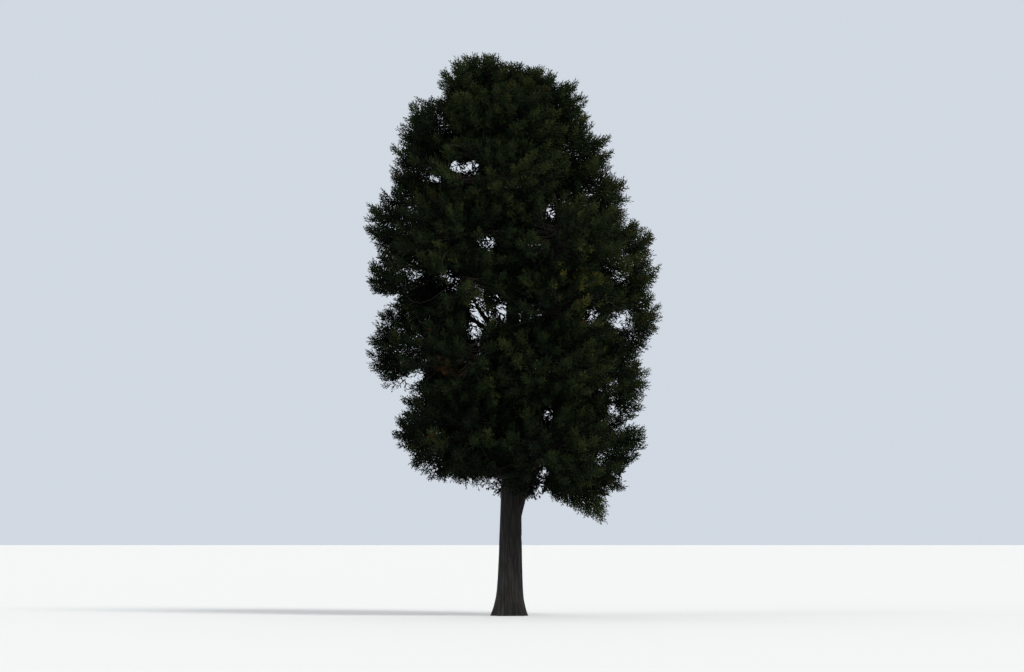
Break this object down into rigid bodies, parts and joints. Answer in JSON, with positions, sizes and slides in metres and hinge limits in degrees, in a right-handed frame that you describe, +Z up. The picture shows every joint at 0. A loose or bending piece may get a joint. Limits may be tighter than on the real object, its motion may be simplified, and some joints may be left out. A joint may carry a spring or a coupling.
{
  "type": "cypress tree",
  "caption": "Broad round-headed cypress tree on a clear upright trunk, with dense tiers of foliage on rising boughs and small gaps of sky through the crown.",
  "frame": {"origin": "middle of the flat cut at ground level, under the trunk", "axes": "+Z up along the trunk, -Y towards the viewer of the picture, +X to that viewer's right"},
  "size_m": [6.2783, 5.831, 11.9658],
  "materials": {
    "bark": "rough, fibrous",
    "foliage": "matte, scale leaves"
  },
  "bodies": {
    "root": {"trunk": "bark", "bough_skirt_1": "bark", "bough_skirt_2": "bark", "bough_skirt_3": "bark", "bough_skirt_4": "bark", "bough_skirt_5": "bark", "bough_skirt_6": "bark", "bough_low_1": "bark", "bough_low_2": "bark", "bough_low_3": "bark", "bough_low_4": "bark", "bough_low_5": "bark", "bough_low_6": "bark", "bough_waist_1": "bark", "bough_waist_2": "bark", "bough_waist_3": "bark", "bough_waist_4": "bark", "bough_waist_5": "bark", "bough_waist_6": "bark", "bough_broad_1": "bark", "bough_broad_2": "bark", "bough_broad_3": "bark", "bough_broad_4": "bark", "bough_broad_5": "bark", "bough_broad_6": "bark", "foliage_skirt_1": "foliage", "foliage_skirt_2": "foliage", "foliage_skirt_3": "foliage", "foliage_skirt_4": "foliage", "foliage_skirt_5": "foliage", "foliage_skirt_6": "foliage", "foliage_low_1": "foliage", "foliage_low_2": "foliage", "foliage_low_3": "foliage", "foliage_low_4": "foliage", "foliage_low_5": "foliage", "foliage_low_6": "foliage", "foliage_waist_1": "foliage", "foliage_waist_2": "foliage", "foliage_waist_3": "foliage", "foliage_waist_4": "foliage", "foliage_waist_5": "foliage", "foliage_waist_6": "foliage", "foliage_broad_1": "foliage", "foliage_broad_2": "foliage", "foliage_broad_3": "foliage", "foliage_broad_4": "foliage", "foliage_broad_5": "foliage", "foliage_broad_6": "foliage", "foliage_shoulder_1": "foliage", "foliage_shoulder_2": "foliage", "foliage_shoulder_3": "foliage", "foliage_shoulder_4": "foliage", "foliage_head_1": "foliage", "foliage_head_2": "foliage", "foliage_head_3": "foliage", "foliage_head_4": "foliage", "foliage_top_1": "foliage", "foliage_top_2": "foliage", "foliage_top_3": "foliage"}
  },
  "joints": []
}
